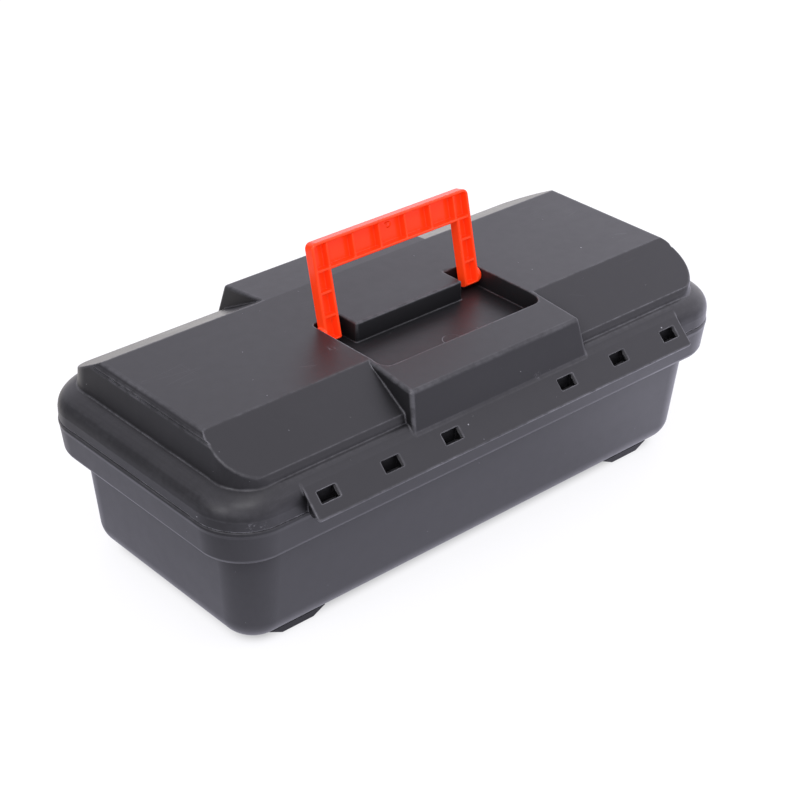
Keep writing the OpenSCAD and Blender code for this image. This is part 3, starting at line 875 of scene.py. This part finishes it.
# ------------------------------------------------------------------ handle
BAIL_X, BAIL_HEIGHT, BAIL_Y = 61.3, 55.4, 3.75   # half length, height, half thickness
BAIL_LEAN = math.radians(-13.0)                  # turned about X, top towards +Y
RIBS_X, RIBS_UP = (10.1, 30.3, 49.7), (10.2, 24.6, 38.0)
GATE_UP = 49.2


def handle_field(x, y, up):
    """Bail in its own plane, `up` from its pivot."""
    abs_x = np.abs(x)
    outer = plan(abs_x, np.abs(up - (BAIL_HEIGHT - 40)), BAIL_X, 40.0, 4.0)
    outer = np.where(up > 0, outer, abs_x - BAIL_X)
    gap = both(abs_x - 49.7, up - 37.3, 0.01)
    loop = less(both(outer, -6.0 - up, 0.5), gap, 1.0)
    body = both(loop, np.abs(y) - BAIL_Y, 0.95)
    body = both(body, off_axis(y, np.minimum(up, 0)) - 5.3, 0.5)
    # ribbed pocket open to -Y
    inner = np.maximum(loop + 1.75, -3.4 - up)
    ribs = any_of([np.maximum(np.abs(abs_x - at) - 0.72, 36.0 - up) for at in RIBS_X]
                  + [np.maximum(np.abs(up - at) - 0.72, 49.0 - abs_x) for at in RIBS_UP])
    ribs = np.maximum(ribs, -2.85 - y)
    pocket = both(less(inner, ribs, 0.45), y - 1.85, 0.5)
    body = less(body, pocket, 0.5)
    axis = off_axis(y, up)
    boss = both(axis - 4.8, np.abs(abs_x - 61.5) - 1.25, 0.9)
    pin = both(axis - 2.5, np.abs(abs_x - RECESS_X) - 2.1, 0.4)
    body = np.minimum(either(body, boss, 0.4), pin)
    # gate mark on the floor of the middle cell
    gate_off = off_axis(x, up, 0, GATE_UP) - 1.7
    gate = both(gate_off, np.abs(y - 1.9) - 0.5, 0.35)
    gate_ring = both(np.abs(gate_off) - 0.35, np.abs(y - 1.6) - 0.5, 0.2)
    return either(body, np.minimum(gate, gate_ring), 0.15)


handle = solid(
    "bail_handle", handle_field,
    mirrored(clusters(0.0, 66.0, 2.2, 0.42, [(8.6, 11.6), (28.8, 31.8), (48.0, 66.0)])),
    np.arange(-5.4, 5.5, 0.36),
    clusters(-6.8, 56.4, 1.6, 0.42,
             [(-6.8, 5.6), (8.9, 11.5), (23.3, 25.9), (34.4, 41.2), (49.5, 56.4)]),
    faces=120000,
    place=Matrix.Translation((0, PIVOT_Y, PIVOT_Z)) @ Matrix.Rotation(BAIL_LEAN, 4, "X"))
dress(handle, ORANGE, "handle", "carry_handle")

# ------------------------------------------------------------------ latches
# (y, z, radius)
LATCH = rounded([
    (LATCH_Y + 0.6, LATCH_Z + 3.1, 1.0), (LATCH_Y + 3.3, LATCH_Z + 0.6, 1.6),
    (LATCH_Y + 3.4, PARTING - 14, 2.5), (106.0, PARTING - 19.3, 0.5),
    (104.7, PARTING - 20.7, 0.5), (LATCH_Y + 1.0, PARTING - 16, 2.0),
    (HALF_WIDTH + 3.55, PARTING - 14.4, 0.4), (HALF_WIDTH + 3.5, PARTING - 11.1, 0.5),
    (LATCH_Y + 0.95, PARTING - 10.1, 0.3), (LATCH_Y + 0.95, LATCH_Z - 3.2, 0.2)], 0.2)


def latch_piece(name, node):
    low, high = node_box(node)
    mid_x, half = (low[0] + high[0]) / 2, (high[0] - low[0]) / 2

    def field(x, y, z):
        abs_x = np.abs(x - mid_x)
        pin = off_axis(y, z, LATCH_Y, LATCH_Z)
        lever = either(outline(y, z, LATCH), pin - 3.25, 0.8)
        taper = 0.05 * np.maximum(PARTING - 4 - z, 0)
        lever = both(lever, abs_x - half + taper, 0.8)
        # a sunk panel and three shallow grooves on the outside
        panel = both(abs_x - 12.5, np.abs(z - (PARTING - 1.5)) - 6.5, 1.5)
        lever = less(lever, both(panel, LATCH_Y + 2.75 - y, 0.2), 0.4)
        for k in range(3):
            groove = off_axis(y, z, LATCH_Y + 3.95, PARTING - 10.6 - 1.9 * k) - 0.85
            lever = less(lever, np.maximum(groove, abs_x - 13.5), 0.2)
        return carve(lever, pin - 1.56)

    X = clusters(-19.0, 19.0, 1.6, 0.45, beside(0.0, 11.5, 19.0))
    return solid(name, field, [mid_x + v for v in X], np.arange(HALF_WIDTH + 1.0, 107.2, 0.4),
                 np.arange(PARTING - 22.0, LATCH_Z + 4.6, 0.42), faces=40000)


for side in ("left", "right"):
    dress(latch_piece(f"latch_{side}_lever", f"latch_{side}"),
          ORANGE, f"latch_{side}", f"latch_{side}")

# ------------------------------------------------------------------ steel rod and pins
# chamfered, slightly domed end: (distance from the end, share of the radius)
BAR_END = ((0.0, 0.0), (0.02, 0.45), (0.12, 0.72), (0.5, 1.0))
BAR_SPANS, BAR_SIDES = 14, 40


def turned_bar(name, node, radius, reach=1e9):
    """Round bar along X, kept within |x| = reach."""
    low, high = node_box(node)
    start, end = max(low[0], -reach), min(high[0], reach)
    mid_y, mid_z = (low[1] + high[1]) / 2, (low[2] + high[2]) / 2
    straight = end - start - 1.0
    stations = [(start + inset, radius * share) for inset, share in BAR_END]
    stations += [(start + 0.5 + straight * i / BAR_SPANS, radius) for i in range(1, BAR_SPANS)]
    stations += [(end - inset, radius * share) for inset, share in reversed(BAR_END)]
    n = BAR_SIDES
    points = [(start, mid_y, mid_z)]
    for x, ring in stations[1:-1]:
        points += [(x, mid_y + ring * math.cos(2 * math.pi * i / n),
                    mid_z + ring * math.sin(2 * math.pi * i / n)) for i in range(n)]
    points.append((end, mid_y, mid_z))
    last = len(points) - 1
    faces = []
    for i in range(n):
        faces.append((0, 1 + (i + 1) % n, 1 + i))
        faces.append((last, last - n + i, last - n + (i + 1) % n))
    for first in range(1, last - n, n):
        for i in range(n):
            a, b = first + i, first + (i + 1) % n
            faces.append((a, b, b + n, a + n))
    mesh = bpy.data.meshes.new(name)
    mesh.from_pydata([tuple(v / 1000 for v in p) for p in points], [], faces)
    shade_smooth(mesh)
    return add_object(name, mesh)


dress(turned_bar("hinge_rod_bar", "hinge_rod", 1.6, 146.9), STEEL, "lid", "hinge_rod")
for side in ("left", "right"):
    dress(turned_bar(f"latch_pin_{side}_bar", f"latch_pin_{side}", 1.5),
          STEEL, "lid", f"latch_pin_{side}")

# ------------------------------------------------------------------ tray
TRAY_Z = node_box("cable_tray")[0][2]
TRAY_X, TRAY_Y, TRAY_TOP = node_box("cable_tray")[1]
TRAY_HEIGHT = TRAY_TOP - TRAY_Z
DIVIDER_LOW, DIVIDER_HIGH = node_box("tray_divider_right")
DIVIDER_X = (DIVIDER_LOW[0] + DIVIDER_HIGH[0]) / 2
DIVIDER_HEIGHT = DIVIDER_HIGH[2] - DIVIDER_LOW[2]


def tray_field(x, y, z):
    abs_x, abs_y = np.abs(x), np.abs(y)
    outer = both(plan(abs_x, abs_y, TRAY_X, TRAY_Y, 22.0),
                 np.abs(z - TRAY_Z - TRAY_HEIGHT / 2) - TRAY_HEIGHT / 2, 0.5)
    inner = both(plan(abs_x, abs_y, TRAY_X - 1.8, TRAY_Y - 1.8, 20.2)
                 + 0.02 * (TRAY_Z + TRAY_HEIGHT - z), TRAY_Z + 1.8 - z, 1.4)
    tray = less(outer, inner, 0.4)
    post = block(abs_x, y, z, (40.4, GRIP_Y - 5.0, TRAY_Z + 0.9),
                 (43.4, GRIP_Y + 5.0, TRAY_Z + 16.35), 0.6)
    tray = either(tray, post, 0.5)
    # pairs of ribs on the long walls, either side of each divider
    for divider in (DIVIDER_X, 0.0):
        rib = np.maximum(np.abs(np.abs(abs_x - divider) - 1.85) - 0.72,
                         np.maximum(np.abs(abs_y - TRAY_Y + 1.6) - 1.9,
                                    np.abs(z - TRAY_Z - 6.9) - 6.0))
        tray = either(tray, rib, 0.3)
    bore = off_axis(y, z, GRIP_Y, GRIP_Z) - 1.66
    return carve(tray, np.maximum(bore, np.abs(abs_x - 42.0) - 3.0))


def tray_lines():
    spots = [(0.9, 3.2), (39.6, 44.2)] + beside(DIVIDER_X, 0.6, 3.2)
    X = [v for v in clusters(0.0, 190.0, 8.0, 0.6, spots) if v < 160]
    X += spread(160.0, (186.0, 1.7), (TRAY_X + 1.0, 0.6))
    Y = spread(-TRAY_Y - 1.0, (-TRAY_Y + 4.6, 0.6), (-62.0, 1.7), (-20.0, 7.0), (-7.0, 0.6),
               (62.0, 8.0), (TRAY_Y - 4.6, 1.7), (TRAY_Y + 1.0, 0.6))
    Z = spread(TRAY_Z - 0.9, (TRAY_Z + 4.4, 0.42), (TRAY_Z + 11.0, 1.0),
               (TRAY_Z + TRAY_HEIGHT + 1.0, 0.42))
    return mirrored(X), Y, Z


dress(solid("tray_moulding", tray_field, *tray_lines(), faces=90000),
      TRAY, "base", "cable_tray")


def divider_piece(name, node, notch_z, start, end):
    """Plate across the tray, with a notch from y = start to end, down to notch_z above its
    foot."""
    low, high = node_box(node)
    mid_x = (low[0] + high[0]) / 2
    height = high[2] - low[2]
    notch = rounded([(start, low[2] + height + 5, 0), (start, low[2] + notch_z, 1.5),
                     (end, low[2] + notch_z, 1.5), (end, low[2] + height + 5, 0)], 0.3)
    plate = rounded([(low[1], low[2], 0.5), (high[1], low[2], 0.5), (high[1], high[2], 1.2),
                     (low[1], high[2], 1.2)], 0.3)

    def field(x, y, z):
        shape = less(outline(y, z, plate), outline(y, z, notch), 0.4)
        return both(shape, np.abs(x - mid_x) - 0.9, 0.35)

    Y = clusters(low[1] - 0.8, high[1] + 0.8, 5.0, 0.5,
                 [(low[1] - 0.8, low[1] + 3), (start - 1.5, start + 2.5),
                  (end - 2.5, end + 1.5), (high[1] - 3, high[1] + 0.8)])
    return solid(name, field, np.arange(mid_x - 1.5, mid_x + 1.55, 0.3), Y,
                 spread(low[2] - 0.8, (high[2] + 0.8, 0.42)), faces=14000)


for side, notch_z, start, end in (("left", DIVIDER_HEIGHT - 2.6, -30.0, 30.0),
                                  ("right", DIVIDER_HEIGHT - 2.6, -30.0, 30.0),
                                  ("middle", DIVIDER_HEIGHT - 5.0, GRIP_Y - 6.0, GRIP_Y + 38.0)):
    dress(divider_piece(f"divider_{side}_plate", f"tray_divider_{side}", notch_z, start, end),
          DIVIDER, "base", f"tray_divider_{side}")


def grip_field(x, y, z):
    """Flat bail with a pin at each end of its axis."""
    abs_x = np.abs(x)
    outer = plan(abs_x, np.abs(y - (GRIP_Y + 11.8)), 40.0, 14.2, 3.0)
    hole = plan(abs_x, np.abs(y - (GRIP_Y + 7.2)), 35.4, 11.2, 1.6)
    bail = both(less(outer, hole, 0.9), np.abs(z - GRIP_Z) - 2.0, 0.9)
    pin = both(off_axis(y, z, GRIP_Y, GRIP_Z) - 1.6, np.abs(abs_x - 40.1) - 3.1, 0.3)
    return either(bail, pin, 0.3)


grip = solid("tray_grip_bail", grip_field, mirrored(clusters(0.0, 44.2, 3.0, 0.4, [(33.5, 44.2)])),
             np.arange(GRIP_Y - 3.4, GRIP_Y + 27.2, 0.45),
             np.arange(GRIP_Z - 2.7, GRIP_Z + 2.75, 0.36), faces=40000)
dress(grip, TRAY, "tray_grip", "tray_grip")

# ------------------------------------------------------------------ battery bay
MAT_LOW, MAT_HIGH = node_box("battery_mat")
MAT_X, MAT_Y, MAT_TOP = MAT_HIGH


def mat_field(x, y, z):
    """Mat with shallow waves along X, 8 mm apart."""
    edge = plan(np.abs(x), np.abs(y), MAT_X, MAT_Y, 10.0)
    waves = (0.45 * (0.5 - 0.5 * np.cos(2 * math.pi * x / 8.0))
             * np.clip((-edge - 3.0) / 2.0, 0, 1))
    return both(edge, np.maximum(z - MAT_TOP + waves, MAT_LOW[2] - z), 0.4)


mat = solid("ribbed_mat", mat_field, spread(-MAT_X - 1.0, (MAT_X + 1.0, 0.95)),
            spread(-MAT_Y - 1.0, (-MAT_Y + 12.0, 0.9), (MAT_Y - 12.0, 6.0), (MAT_Y + 1.0, 0.9)),
            spread(MAT_LOW[2] - 0.6, (MAT_TOP + 0.6, 0.35)), faces=60000)
dress(mat, RUBBER, "base", "battery_mat")


def block_piece(name, node, sign):
    """Slightly uneven foam block with a notch in its top, nearer the middle of the case."""
    low, high = node_box(node)
    notch_x = (low[0] + high[0]) / 2 - sign * 28.0

    def field(x, y, z):
        uneven = (0.25 * np.sin(x * 0.21 + 1.3) * np.sin(y * 0.17)
                  + 0.12 * np.sin(x * 0.9 + y * 0.7 + z * 0.8))
        foam = block(x, y, z, [v + 0.2 for v in low], [v - 0.2 for v in high], 2.2)
        notch = block(x, y, z, (notch_x - 7.0, -20.0, low[2] + 24.0),
                      (notch_x + 7.0, 20.0, high[2] + 12.0), 2.0)
        return less(foam - 0.1 * uneven, notch, 1.6)

    lines = [np.arange(a - 1.0, b + 1.1, step) for a, b, step in zip(low, high, (1.05, 1.2, 1.0))]
    return solid(name, field, *lines, faces=24000)


for side, sign in (("left", -1), ("right", 1)):
    dress(block_piece(f"foam_block_{side}", f"end_block_{side}", sign),
          FOAM, "base", f"end_block_{side}")


# ------------------------------------------------------------------ floor
FLOOR_HALF = 6.0                                 # metres


def floor_material():
    """White table lit from below: even and white to the camera, with painted shade dimming it
    under the case and at its foot. What the case reflects of it is brighter towards +X and darker
    to the far -X."""
    m = Shader(bpy.data.materials.new("studio_floor"))
    place = m.node("ShaderNodeNewGeometry").outputs["Position"]
    # distance out from the foot of the case
    away = m.vector("SUBTRACT", m.vector("ABSOLUTE", place)[0], (0.155, 0.053, 0.0))[0]
    away = m.vector("MAXIMUM", away, (0.0, 0.0, 0.0))[0]
    away = m.math("SUBTRACT", m.vector("LENGTH", away)["Value"], 0.024)
    x, y, _ = m.node("ShaderNodeSeparateXYZ", Vector=place).outputs
    # painted shade: the glow fades to a tenth from 4 mm to 22 mm inside the case's outline
    clear = m.span(away, (-0.022, -0.004), to=(0.10, 1.0))
    near = m.times(m.span(x, (0.08, 0.22), to=(0.0, 0.50)), m.span(y, (-0.30, -0.17)))
    tone = m.plus(m.span(x, (-0.27, -0.13), to=(0.68, 0.93)), near)
    tone = m.plus(tone, m.times(m.span(y, (0.12, 0.30)),
                                m.span(x, (-0.15, 0.05), to=(0.0, 0.22))))
    tone = m.times(tone, m.span(y, (-0.50, -0.18), to=(0.32, 1.0)))
    tone = m.times(tone, m.span(x, (-0.335, -0.255), to=(0.08, 1.0)))
    seen = m.node("ShaderNodeLightPath").outputs["Is Camera Ray"]
    glow = m.plus(m.times(seen, 0.84), m.times(m.math("SUBTRACT", 1.0, seen), tone))
    glow = m.times(glow, clear)
    colour = m.mix(m.times(m.noise(scale=3.0), 0.2), (0.22, 0.22, 0.225), (0.20, 0.20, 0.207))
    tint = m.mix(m.span(y, (0.12, 0.30)), (1.0, 0.985, 1.17), (1.04, 1.0, 0.96))
    return m.finish(m.node("ShaderNodeBsdfPrincipled", Base_Color=colour, Roughness=0.7,
                           Specular_IOR_Level=0.0, Emission_Strength=glow,
                           Emission_Color=m.mix(seen, tint, (1.0, 1.0, 1.01))))


floor_mesh = bpy.data.meshes.new("studio_floor")
floor_mesh.from_pydata([(FLOOR_HALF * i, FLOOR_HALF * j, 0)
                        for i, j in ((-1, -1), (1, -1), (1, 1), (-1, 1))], [], [(0, 1, 2, 3)])
floor_mesh.materials.append(floor_material())
add_object("studio_floor", floor_mesh)


# ------------------------------------------------------------------ light
def studio_world():
    """Soft room light: stronger towards +X and in two soft spots, weaker overhead and far
    weaker in a dark patch low on the -X +Y side."""
    world = bpy.data.worlds.new("studio")
    scene.world = world
    w = Shader(world, "ShaderNodeOutputWorld")
    look = w.coords["Generated"]

    def towards(direction, across, to):
        return w.span(w.vector("DOT_PRODUCT", look, direction)["Value"], across, to)

    def combine(operation, a, b):
        return w.node("ShaderNodeMath", {"operation": operation}, _0=a, _1=b).outputs[0]

    x, _, z = w.node("ShaderNodeSeparateXYZ", Vector=look).outputs
    spots = combine("ADD", towards((0.62, -0.52, 0.588), across=(0.86, 1.0), to=(0.0, 0.30)),
                    towards((0.80, 0.35, 0.48), across=(0.90, 0.99), to=(0.0, 0.46)))
    strength = combine("ADD", w.span(x, (0.42, 0.72), to=(0.99, 1.23)), spots)
    strength = combine("MULTIPLY", strength, w.span(z, (0.62, 0.90), to=(1.0, 0.90)))
    strength = combine("MULTIPLY", strength,
                       towards((-0.73, 0.66, -0.15), across=(0.55, 0.92), to=(1.0, 0.12)))
    w.finish(w.node("ShaderNodeBackground", Strength=strength, Color=(1.0, 0.975, 1.10, 1)))


def softbox(name, place, size, power):
    """Area light aimed at the middle of the case."""
    light = bpy.data.lights.new(name, "AREA")
    light.shape = "RECTANGLE"
    light.size, light.size_y = size
    light.energy = power
    light.color = (1, 1, 1)
    ob = add_object(name, light)
    ob.location = place
    aim = Vector((cad_lo + cad_hi) / 2) - Vector(place)
    ob.rotation_euler = aim.to_track_quat("-Z", "Y").to_euler()


studio_world()
softbox("key_softbox", place=(-0.52, -0.55, 1.35), size=(0.5, 0.5), power=3.6)
softbox("left_softbox", place=(-1.45, -0.15, 0.85), size=(0.4, 0.6), power=3.2)

# ------------------------------------------------------------------ camera
AZIMUTH, ELEVATION, ROLL = (math.radians(v) for v in (-41.9934, 30.5362, 0.6354))
CASE_IN_VIEW = Vector((-1.9994, -55.7426, -1187.0654))   # case origin seen by the camera, mm

back = Vector((math.sin(AZIMUTH) * math.cos(ELEVATION),
               -math.cos(AZIMUTH) * math.cos(ELEVATION), math.sin(ELEVATION)))
right = (-back).cross(Vector((0, 0, 1))).normalized()
upward = right.cross(-back)
cos_roll, sin_roll = math.cos(ROLL), math.sin(ROLL)
turn = Matrix((cos_roll * right + sin_roll * upward, -sin_roll * right + cos_roll * upward,
               back)).transposed()
camera_data = bpy.data.cameras.new("camera")
camera_data.sensor_width = 36.0
camera_data.lens = 83.774313
camera_data.clip_start, camera_data.clip_end = 0.05, 50.0
camera = add_object("camera", camera_data)
camera.matrix_world = Matrix.Translation(-(turn @ CASE_IN_VIEW) / 1000.0) @ turn.to_4x4()
scene.camera = camera
scene.view_settings.view_transform = "Standard"
scene.view_settings.look = "None"
